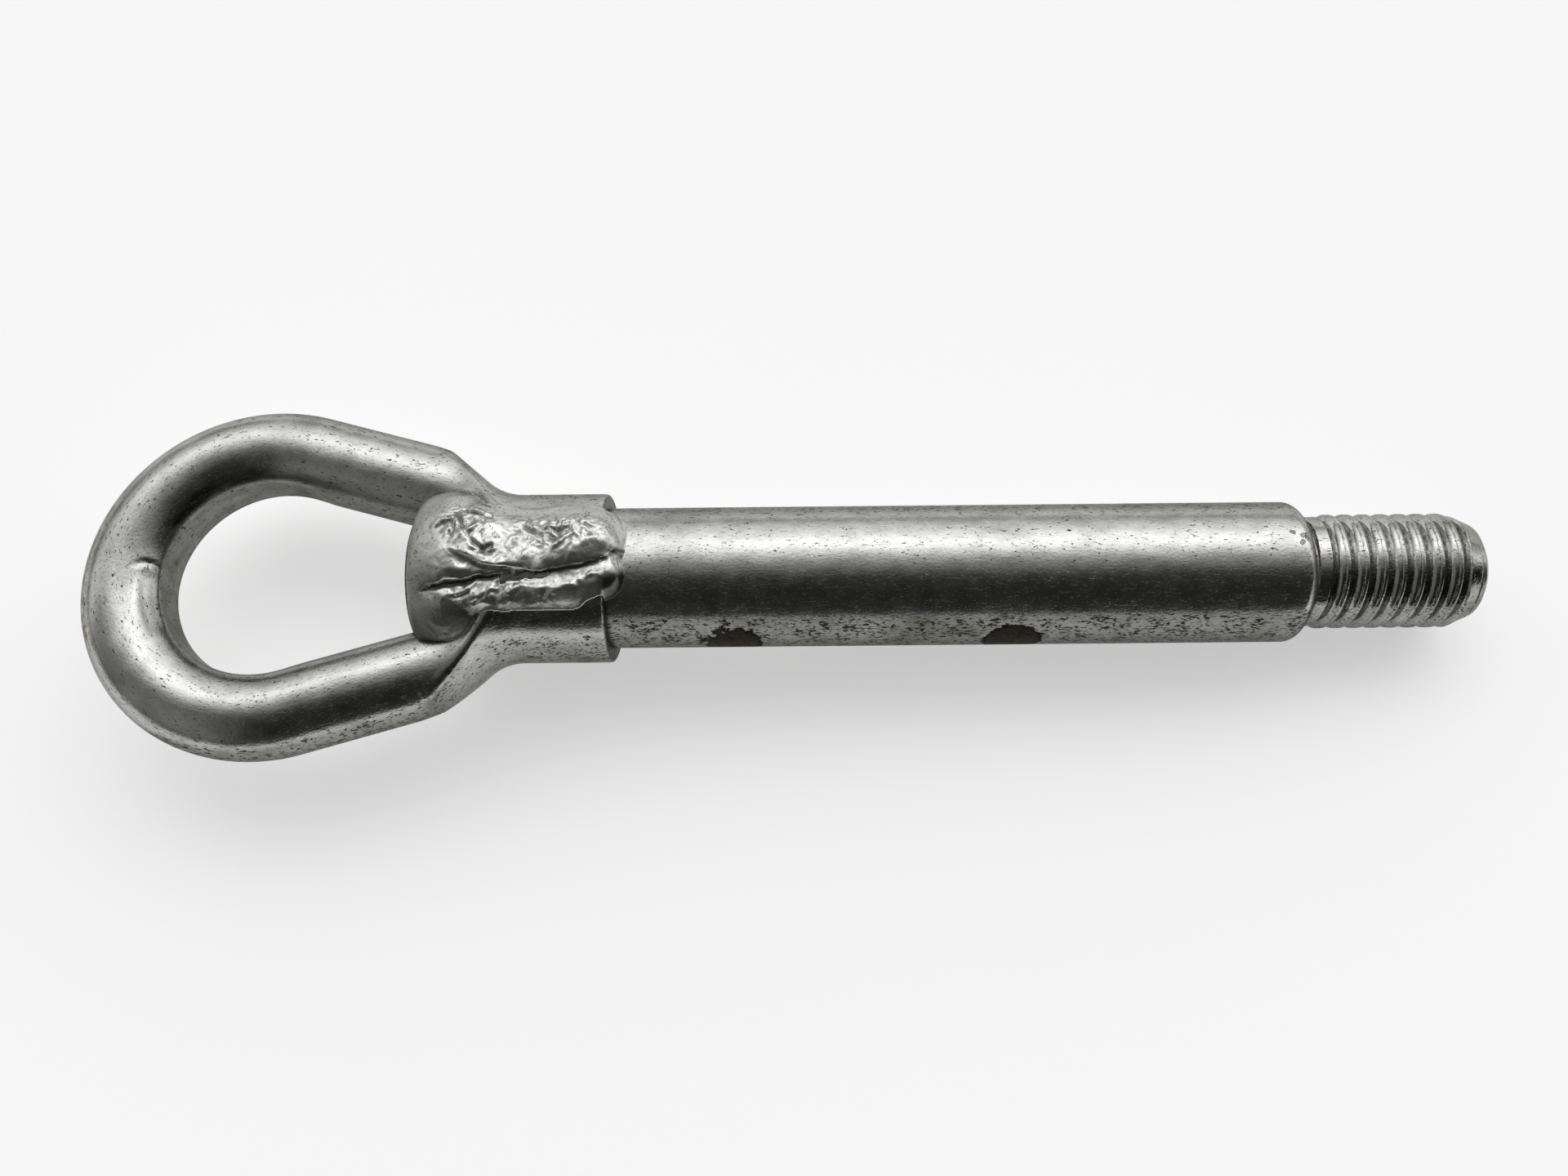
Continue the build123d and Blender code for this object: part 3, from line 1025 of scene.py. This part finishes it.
# Forms of the marks, as shares of their heights and widths: the lip beside a slit and its place, the reach
# of a step, and of a fold's lip and undercut. The last is the softness of a fold's edge in millimetres
SLIT_LIP = 0.15
SLIT_LIP_PLACE = 1.8
STEP_REACH = 6
FOLD_REACH = 1.6
UNDERCUT_REACH = 1.8
FOLD_EDGE = 0.12


def stroke_heights(x, arc, marks, radius, depth):
    """What the marks add to a bead, over places along and round it in millimetres."""
    total = np.zeros_like(x)
    for kind, width, height, places in marks:
        nearest, across = line_distance(x, arc, places, radius)
        height = height * depth
        if kind == "slit":
            total -= height * hump(nearest, 0, width)
            total += SLIT_LIP * height * hump(nearest, SLIT_LIP_PLACE * width, width)
        elif kind == "ridge":
            total += height * hump(nearest, 0, width)
        elif kind == "step":
            total += height * (0.5 + 0.5 * np.tanh(across / width)) * hump(nearest, 0, STEP_REACH * width)
        else:
            lip = height * hump(nearest, 0, FOLD_REACH * width)
            undercut = -height * hump(nearest, 0, UNDERCUT_REACH * width)
            total += undercut + (lip - undercut) * (0.5 + 0.5 * np.tanh(across / FOLD_EDGE))
    return total


# Surfaces are searched for outwards, in steps: in millimetres, the radius that a bead has where it has no
# metal, where its search starts and how far past its crown it goes, and how far over the bar what is under
# it may lie
NO_BEAD = 7.5
BEAD_START = 9.0
PAST_CROWN = 0.2
BEAD_STEPS = 56
CARRIER_RANGE = (0.02, 5.0)
CARRIER_STEPS = 42


def way_out(radii, value_at, found):
    """The last radius at which a value rises through nought, or what was there where it never does."""
    last = None
    for rho in radii:
        value = value_at(rho)
        if last is not None:
            crossing = (last[1] < 0) & (value >= 0)
            found = np.where(crossing, last[0] + (rho - last[0]) * last[1] / (last[1] - value), found)
        last = (rho, value)
    return found


def bead_radius(x, turn, pools, waist, end_x):
    """Distance of a bead's smooth surface from the shaft's axis, over places along and round the shaft."""
    ends = []
    for reach, lean, pool, crown in pools:
        tilt = math.radians(lean)
        depth = crown - pool
        ends.append(np.array([end_x - reach, depth * math.sin(tilt), depth * math.cos(tilt)]))
    inner_r, outer_r = (pool for _, _, pool, _ in pools)
    run = ends[1] - ends[0]
    span = math.sqrt(run @ run)
    run = run / span

    def above(rho):
        px, py, pz = x - ends[0][0], rho * np.sin(turn) - ends[0][1], rho * np.cos(turn) - ends[0][2]
        held = np.clip(px * run[0] + py * run[1] + pz * run[2], 0, span)
        away = np.sqrt((px - held * run[0]) ** 2 + (py - held * run[1]) ** 2 + (pz - held * run[2]) ** 2)
        share = held / span
        return away - (inner_r + (outer_r - inner_r) * share - waist * np.sin(math.pi * share) ** 2)

    radii = np.linspace(BEAD_START, max(crown for *_, crown in pools) + PAST_CROWN, BEAD_STEPS)
    return way_out(radii, above, np.full(x.shape, NO_BEAD))


def run_radius(x, turn, pools, waist, end_x):
    """Distance of a whole run of pools from the shaft's axis."""
    pairs = zip(pools[:-1], pools[1:])
    return np.maximum.reduce([bead_radius(x, turn, pair, waist, end_x) for pair in pairs])


def round_shaft(x, turn, side, radius):
    """Points in rows, from places along and round the shaft and their radii."""
    return np.stack([x, radius * np.sin(turn), side * radius * np.cos(turn)], axis=-1).reshape(-1, 3)


def carrier_radius(x, turn, side, form):
    """Distance of the surface under a bead from the shaft's axis."""

    def above(rho):
        return form(round_shaft(x, turn, side, rho)).reshape(x.shape)

    radii = np.linspace(form.bar + CARRIER_RANGE[0], form.bar + CARRIER_RANGE[1], CARRIER_STEPS)
    return way_out(radii, above, np.full(x.shape, form.bar))


# The crumples are drawn from noise, which this seed keeps the same in each run. The two sides read it at
# places shifted opposite ways
CRUST_SEED = 4
CRUST_SHIFT = Vector((21.9, 9.3, 17.1))
CRUST_SCALE = 0.5


def crust(points, side):
    """Crumpled skin of the cooled metal, a slow waver and an uneven depth, each about nought."""
    noise.seed_set(CRUST_SEED)
    shift = CRUST_SHIFT * side
    found = []
    for point in points:
        place = Vector(point) * CRUST_SCALE + shift
        warp = noise.noise_vector(place * 0.8) * 0.55
        fold = 0.5 - 2.0 * abs(noise.noise(place + warp))
        crease = 0.5 - 2.0 * abs(noise.noise(place * 2.3 + warp * 1.6))
        found.append((0.65 * fold + 0.35 * crease, noise.noise(place * 1.7), noise.noise(place * 0.9)))
    return np.array(found).T


def softened(grid, rounds):
    """A grid of heights with its small shapes worn away."""
    for _ in range(rounds):
        wide = np.pad(grid, 1, mode="edge")
        grid = (wide[:-2, 1:-1] + wide[2:, 1:-1] + wide[1:-1, :-2] + wide[1:-1, 2:] + 2 * grid) / 6
    return grid


# The hidden side has the front's marks end for end: a mark's place along the shaft and its turned place
# add up to this in millimetres, and the marks are shifted round the shaft by these angles in degrees
TURNED_ABOUT = -209.0
BACK_SHIFTS = {"weld_front_upper": 6, "weld_front_lower": 10}


def side_marks(side):
    """The marks of the front beads, or for the hidden side the same ones the other way round."""
    if side > 0:
        return [mark for marks in FRONT_MARKS.values() for mark in marks]
    turned = []
    for name, marks in FRONT_MARKS.items():
        for kind, width, height, places in marks:
            back = [(TURNED_ABOUT - x, angle + BACK_SHIFTS[name]) for x, angle in reversed(places)]
            turned.append((kind, width, height, back))
    return turned


# The collar: how square its section is, the angle over which it runs out, and in millimetres how far its
# edge sinks into the shaft and drops away past it
COLLAR_POWER = 0.3
COLLAR_FADE_ANGLE = math.radians(9)
COLLAR_SINK = 0.3
COLLAR_DROP = 1.5


def collar_radius(x, turn, sizes, form):
    """Distance of the collar over the shaft's inner end from the shaft's axis."""
    off_middle = (x - form.end_x + sizes.collar_reach / MM) / (sizes.collar_half / MM)
    share = np.clip(1 - off_middle**2, 0, 1) ** COLLAR_POWER
    fade = np.clip((sizes.collar_spread - np.abs(turn)) / COLLAR_FADE_ANGLE, 0, 1)
    share = share * fade * fade * (3 - 2 * fade)
    height = (sizes.collar_height / MM + COLLAR_SINK) * share
    return form.bar - COLLAR_SINK + height - COLLAR_DROP * np.clip(1 - share / 0.1, 0, 1)


# Softness in millimetres of the runs between the weld's forms
COLLAR_SOFT = 1.6
BEADS_SOFT = 1.2
BED_SOFT = 0.8

# Half width and depth of the slit between two beads in millimetres, and its depth by place along the shaft
SLIT_HALF = 0.35
SLIT_DEPTH = 0.45
VALLEY_SHARE = [(-119.0, -116.5, -108.0, -104.0), (0.0, 1.0, 1.0, 0.85)]

# Depth and half width of the soft valley beside the slit in millimetres, with what its upper side takes
# off each
VALLEY_DEPTH = (0.7, 0.25)
VALLEY_HALF = (1.2, 0.2)

# In millimetres, height of the folds on plain skin and what crumpling adds, how far the marks and the
# crease waver, and over what height above the sleeve the relief comes in
SKIN_FOLDS = 0.09
CRUMPLE_FOLDS = 0.4
WAVER = 0.35
CREASE_WAVER = 0.3
RELIEF_START = (-0.3, 0.9)

# Share of their depth that the marks have: the usual one, the least and the most
MARK_DEPTH = (0.75, 0.3, 1.2)


def weld_heights(x, turn, side, sizes, form):
    """Distance of a side's weld metal and of what is under it from the axis, and the way off its crease."""
    arc = turn * form.sleeve
    forms = [
        run_radius(x, turn, pools, sizes.waist / MM * share, form.end_x)
        for at, share, pools in BEADS.values()
        if at == side
    ]
    collar = collar_radius(x, turn, sizes, form)
    bed = smooth_max(bead_radius(x, turn, BED, 0.0, form.end_x), collar, COLLAR_SOFT)
    smooth = smooth_max(smooth_max(*forms, BEADS_SOFT), bed, BED_SOFT)
    carrier = carrier_radius(x, turn, side, form)
    layers = crust(round_shaft(x, turn, side, smooth), side)
    fold, waver, uneven = (layer.reshape(x.shape) for layer in layers)
    crumpled = np.zeros_like(x)
    for px, angle, reach_x, reach_arc, amount in CRUMPLES[side]:
        far = ((x - px) / reach_x) ** 2 + ((arc - math.radians(angle) * form.sleeve) / reach_arc) ** 2
        crumpled = np.maximum(crumpled, amount * np.exp(-(far**2)))
    detail = (SKIN_FOLDS + CRUMPLE_FOLDS * crumpled) * fold
    usual, least, most = MARK_DEPTH
    depth = np.clip(usual + uneven, least, most)
    detail += stroke_heights(x + WAVER * waver, arc + WAVER * uneven, side_marks(side), form.sleeve, depth)
    off_crease, _ = line_distance(x, arc + CREASE_WAVER * waver, CREASES[side], form.sleeve)
    along, angles = np.array(CREASES[side]).T
    off_crease *= np.sign(arc - np.radians(np.interp(x, along, angles)) * form.sleeve)
    above = np.tanh(off_crease / 0.25)
    valley = SLIT_DEPTH * hump(off_crease, 0, SLIT_HALF)
    valley_depth, valley_half = (plain - less * above for plain, less in (VALLEY_DEPTH, VALLEY_HALF))
    valley += valley_depth * hump(off_crease, 0, valley_half)
    valley *= np.interp(x, *VALLEY_SHARE)
    proud = rise(smooth - np.maximum(carrier, form.sleeve), *RELIEF_START)
    return smooth + (detail - valley) * proud, carrier, off_crease


# A bead's floor has one face for this many of its skin's
STRIDE = 8

# How far a skin reaches past its crease and how far from the seam's middle it may reach, in degrees, and
# how far it reaches past the collar and the last pool, in millimetres
PAST_CREASE = 8
SKIN_LIMIT = 80.0
PAST_COLLAR = 0.2
PAST_POOL = 0.6


def bead_grid(name, sizes, form):
    """The places along and round the shaft that a bead's skin covers."""
    side, _, pools = BEADS[name]
    start = form.end_x - sizes.collar_reach / MM - sizes.collar_half / MM - PAST_COLLAR
    stop = form.end_x - pools[-1][0] + pools[-1][2] + PAST_POOL
    wide = max(math.degrees(math.asin(min(0.95, pool / (top - pool)))) for _, _, pool, top in pools)
    limit = math.degrees(sizes.collar_spread) + 1
    leans = [lean for _, lean, _, _ in pools]
    angles = [angle for _, angle in CREASES[side]]
    if "upper" in name:
        low, high = min(angles) - PAST_CREASE, max(limit, max(leans) + wide)
    else:
        low, high = min(-limit, min(leans) - wide), max(angles) + PAST_CREASE
    low, high = max(-SKIN_LIMIT, low), min(SKIN_LIMIT, high)
    step = sizes.skin / MM
    columns = int(math.radians(high - low) * form.sleeve / step / STRIDE) * STRIDE + 1
    along = np.linspace(start, stop, int((stop - start) / step))
    return np.meshgrid(along, np.radians(np.linspace(low, high, columns)), indexing="ij")


def closed_skin(name, side, x, turn, surface, buried):
    """A mesh of a bead's skin, closed by a coarser floor inside the shaft."""
    rows, columns = x.shape

    def spot(i, j, radius):
        return (x[i, j] * MM, radius * math.sin(turn[i, j]) * MM, side * radius * math.cos(turn[i, j]) * MM)

    vertices = [spot(i, j, surface[i, j]) for i in range(rows) for j in range(columns)]
    faces = [
        (i * columns + j, (i + 1) * columns + j, (i + 1) * columns + j + 1, i * columns + j + 1)
        for i in range(rows - 1)
        for j in range(columns - 1)
    ]
    under = {}
    for i in range(rows):
        for j in range(0, columns, STRIDE):
            if i in (0, rows - 1) or j in (0, columns - 1):
                under[i, j] = i * columns + j
            else:
                under[i, j] = len(vertices)
                vertices.append(spot(i, j, buried))
    for i in range(rows - 1):
        for j in range(0, columns - 1, STRIDE):
            faces.append((under[i, j], under[i, j + STRIDE], under[i + 1, j + STRIDE], under[i + 1, j]))
    for i in (0, rows - 1):
        for j in range(0, columns - 1, STRIDE):
            faces.append(tuple(i * columns + k for k in range(j, j + STRIDE + 1)))
    mesh = bpy.data.meshes.new(name)
    mesh.from_pydata(vertices, [], faces)
    outward(mesh)
    return mesh


# Rounds of softening that a skin is held against to find its fine and its broad hollows, which are painted
# dark, partly as dirt and partly as painted shade, and how deep in millimetres a hollow is that is painted
# darkest
FINE_ROUNDS = 14
BROAD_ROUNDS = 150
FINE_HOLLOW = 0.16
BROAD_HOLLOW = 0.7

# Painted shade along the toe on the low side: its share, its height over what is under it and half width in
# millimetres, and the angle past which it lies
TOE_SHARE = 0.5
TOE_HEIGHT = (0.15, 0.3)
TOE_ANGLE = -math.radians(25)

# Painted shade on the outer end and along the crease: its most, its start and fade along the shaft in
# millimetres, the end's from the sleeve's end, and round the shaft
DARKEST = 0.85
END_FADE = (-1.2, 1.2)
END_ANGLE = (math.radians(10), 0.14)
CREASE_FADE = (-116.0, 3.0)

# Painted shade by the flare: its share, then middle and half width along the shaft in millimetres, and round
# it
FLARE_DARK = 0.7
FLARE_PLACE = (-111.8, 2.4)
FLARE_ANGLE = (-math.radians(40), math.radians(6))

# In millimetres, how deep a bead's edge lies in the shaft and how far its skin runs on past the crease,
# and how steeply it falls there
BURIED = 0.05
CREASE_LAP = 0.4
CREASE_FALL = 2.5


def bead_mesh(name, sizes, form):
    """A bead's wrinkled skin over the seam, with dirt and painted shade in its folds and painted shade on its
    ends and along its toe.
    """
    side = BEADS[name][0]
    x, turn = bead_grid(name, sizes, form)
    metal, carrier, off_crease = weld_heights(x, turn, side, sizes, form)
    if "lower" in name:
        off_crease = -off_crease
    toe = sizes.toe / MM
    surface = np.where(metal > carrier - toe, smooth_max(metal, carrier, toe), metal)
    fine = softened(surface, FINE_ROUNDS)
    broad = softened(fine, BROAD_ROUNDS)
    # Hollows that are painted dark: partly dirt, partly painted shade
    crease = rise(fine - surface, 0, FINE_HOLLOW) + rise(broad - surface, 0, BROAD_HOLLOW)
    # Painted shade along the toe on the low side, on the outer end, by the flare and along the crease
    at_toe = TOE_SHARE * hump(metal - carrier, *TOE_HEIGHT) * (turn < TOE_ANGLE)
    at_end = rise(x - form.end_x, *END_FADE) * np.minimum(rise(-turn, *END_ANGLE), DARKEST)
    at_flare = FLARE_DARK * hump(x, *FLARE_PLACE) * hump(turn, *FLARE_ANGLE)
    at_crease = DARKEST * hump(off_crease, 0, SLIT_HALF) * rise(x, *CREASE_FADE)
    layers = {
        "crease": np.clip(np.maximum(crease, at_toe), 0, 1),
        "dark": np.maximum.reduce([at_end, at_flare, at_crease]),
    }
    buried = form.bar - BURIED
    fall = CREASE_FALL * np.clip(-off_crease - CREASE_LAP, 0, None)
    surface = np.clip(surface - fall, buried, sizes.crown_radius / MM)
    surface[[0, -1], :] = buried
    surface[:, [0, -1]] = buried
    mesh = closed_skin(name, side, x, turn, surface, buried)
    for label, layer in layers.items():
        values = np.zeros(len(mesh.vertices))
        values[: layer.size] = layer.ravel()
        store(mesh, label, values)
    return mesh


class TOWEYE_OT_welds(bpy.types.Operator):
    """Lay the weld beads along the two seams"""

    bl_idname = "tow_eye.welds"
    bl_label = "Weld beads"

    def execute(self, context):
        scene = context.scene
        form = LoopForm(scene.tow_eye_loop, scene.tow_eye_shaft.bar_radius)
        material = weld_material(scene.tow_eye_finish)
        for name in BEADS:
            mesh = bead_mesh(name, scene.tow_eye_weld, form)
            link_piece(name + "_bead", mesh, "root", name, material)
        return {"FINISHED"}


# Soft light from overhead, by its angle from straight up towards the far side, in degrees, and its level
OVERHEAD = [
    (-90, 0.05),
    (-70, 0.028),
    (-50, 0.02),
    (-27, 0.03),
    (-16, 0.05),
    (-6, 0.18),
    (4.5, 0.33),
    (15, 0.66),
    (26, 1.5),
    (38, 2.2),
    (50, 1.4),
    (64, 1.1),
    (78, 0.66),
    (90, 0.5),
]
OVERHEAD_PEAK = 2.5

# Level of the white that the camera sees round the floor, and of the floor's own glow
SURROUND = 0.92
FLOOR_GLOW = 0.5
WHITE = (1.0, 1.0, 1.0, 1.0)

# Dim light from the left, by how far a direction points along the shaft, and its level
LEFT_FILL = (-0.62, -0.26, 0.22, 0.0)

# Places along the shaft where the weld and the shoulder rest on the floor, in metres
WELD_REST = -0.105
SHOULDER_REST = -0.002

# The camera: its place in millimetres, the way it looks and the way to its right, its sensor's width in
# millimetres and the nearest and farthest distance that it sees in metres
CAMERA_PLACE = (-70.32, -52.65, 156.53)
CAMERA_FORWARD = (-0.0028, 0.3097, -0.9508)
CAMERA_RIGHT = (1.0, -0.0082, -0.0056)
SENSOR_WIDTH = 36.0
CLIP = (0.005, 20.0)


def studio_world(scene, level):
    """A long soft light over the object, a dim one from the left, and a white surround for the camera."""
    world = bpy.data.worlds.new("studio")
    world.use_nodes = True
    scene.world = world
    tree = world.node_tree
    tree.nodes.clear()
    x, y, z = parts(field(tree, "ShaderNodeTexCoord", "Generated"))
    span = {"Value": maths("ARCTAN2", y, z), "From Min": -math.pi / 2, "From Max": math.pi / 2}
    share = field(tree, "ShaderNodeMapRange", "Result", span, interpolation_type="LINEAR")
    levels = put(tree, "ShaderNodeValToRGB", {0: share})
    levels.color_ramp.interpolation = "B_SPLINE"
    stops = levels.color_ramp.elements
    while len(stops) < len(OVERHEAD):
        stops.new(0.5)
    for stop, (degrees, value) in zip(stops, OVERHEAD):
        stop.position = (degrees + 90) / 180
        stop.color = rgba([value / OVERHEAD_PEAK] * 3)
    overhead = Field(tree, levels.outputs[0]) * OVERHEAD_PEAK
    overhead = overhead * ramp(maths("ABSOLUTE", x - 0.15), 0.35, 1.0, 1.04, 0.5)
    glow = greater(overhead, ramp(x, *LEFT_FILL)) * ramp(z, 0.0, 0.15)
    light = field(tree, "ShaderNodeBackground", 0, {"Color": WHITE, "Strength": glow * level})
    white = field(tree, "ShaderNodeBackground", 0, {"Color": WHITE, "Strength": SURROUND})
    seen = field(tree, "ShaderNodeLightPath", "Is Camera Ray")
    shown = field(tree, "ShaderNodeMixShader", 0, {0: seen, 1: light, 2: white})
    tree.links.new(shown.socket, tree.nodes.new("ShaderNodeOutputWorld").inputs["Surface"])


def floor_material(sizes):
    made, tree, shader = blank_material("pale floor")
    plain = {"Base Color": rgba(sizes.floor), "Roughness": 0.9}
    plain.update({"Specular IOR Level": 0.0, "Emission Color": WHITE})
    for name, value in plain.items():
        shader.inputs[name].default_value = value
    path = tree.nodes.new("ShaderNodeLightPath").outputs
    rays = [Field(tree, path[f"Is {kind} Ray"]) for kind in ("Camera", "Glossy", "Transmission")]
    seen = greater(greater(rays[0], rays[1]), rays[2]) * FLOOR_GLOW
    tree.links.new(seen.socket, shader.inputs["Emission Strength"])
    return made


class TOWEYE_OT_stage(bpy.types.Operator):
    """Lay the floor, light it and set up the camera"""

    bl_idname = "tow_eye.stage"
    bl_label = "Stage"

    def execute(self, context):
        scene = context.scene
        sizes = scene.tow_eye_stage
        weld_z = -scene.tow_eye_weld.crown_radius
        slope = (-scene.tow_eye_shaft.bar_radius - weld_z) / (SHOULDER_REST - WELD_REST)
        half = sizes.floor_width / 2
        square = ((-half, -half), (half, -half), (half, half), (-half, half))
        mesh = bpy.data.meshes.new("floor")
        mesh.from_pydata([(x, y, weld_z + slope * (x - WELD_REST)) for x, y in square], [], [(0, 1, 2, 3)])
        mesh.materials.append(floor_material(sizes))
        floor = bpy.data.objects.new("floor", mesh)
        scene.collection.objects.link(floor)
        studio_world(scene, sizes.light)
        lens = bpy.data.cameras.new("camera")
        lens.lens = sizes.lens
        lens.sensor_width = SENSOR_WIDTH
        lens.sensor_fit = "HORIZONTAL"
        lens.clip_start, lens.clip_end = CLIP
        camera = bpy.data.objects.new("camera", lens)
        scene.collection.objects.link(camera)
        forward = Vector(CAMERA_FORWARD).normalized()
        right = Vector(CAMERA_RIGHT)
        right = (right - forward * right.dot(forward)).normalized()
        up = right.cross(forward)
        turned = Matrix((right, up, -forward)).transposed().to_4x4()
        camera.matrix_world = Matrix.Translation(Vector(CAMERA_PLACE) * MM) @ turned
        scene.camera = camera
        scene.view_settings.view_transform = "Standard"
        return {"FINISHED"}


class TOWEYE_PT_panel(bpy.types.Panel):
    """The tow eye's sizes and pieces"""

    bl_label = "Tow Eye"
    bl_idname = "TOWEYE_PT_panel"
    bl_space_type = "VIEW_3D"
    bl_region_type = "UI"
    bl_category = "Tow Eye"

    def draw(self, context):
        for title, settings, operator in SECTIONS:
            box = self.layout.box()
            box.label(text=title)
            group = getattr(context.scene, settings)
            for name in group.bl_rna.properties.keys():
                if name not in ("rna_type", "name"):
                    box.prop(group, name)
            if operator:
                box.operator(operator)


SECTIONS = [
    ("Shaft", "tow_eye_shaft", "tow_eye.shaft"),
    ("Eye", "tow_eye_loop", "tow_eye.loop"),
    ("Weld beads", "tow_eye_weld", "tow_eye.welds"),
    ("Finish", "tow_eye_finish", None),
    ("Stage", "tow_eye_stage", "tow_eye.stage"),
]

SETTINGS = {
    "tow_eye_shaft": ShaftSizes,
    "tow_eye_loop": LoopSizes,
    "tow_eye_weld": WeldSizes,
    "tow_eye_finish": FinishColours,
    "tow_eye_stage": StageSizes,
}

CLASSES = [
    *SETTINGS.values(),
    TOWEYE_OT_shaft,
    TOWEYE_OT_loop,
    TOWEYE_OT_welds,
    TOWEYE_OT_stage,
    TOWEYE_PT_panel,
]


def register():
    for made in CLASSES:
        bpy.utils.register_class(made)
    for name, settings in SETTINGS.items():
        setattr(bpy.types.Scene, name, PointerProperty(type=settings))


def unregister():
    for name in SETTINGS:
        delattr(bpy.types.Scene, name)
    for made in reversed(CLASSES):
        bpy.utils.unregister_class(made)


def main():
    register()
    bpy.ops.tow_eye.stage()
    bpy.ops.tow_eye.shaft()
    bpy.ops.tow_eye.loop()
    bpy.ops.tow_eye.welds()


if __name__ == "__main__":
    main()
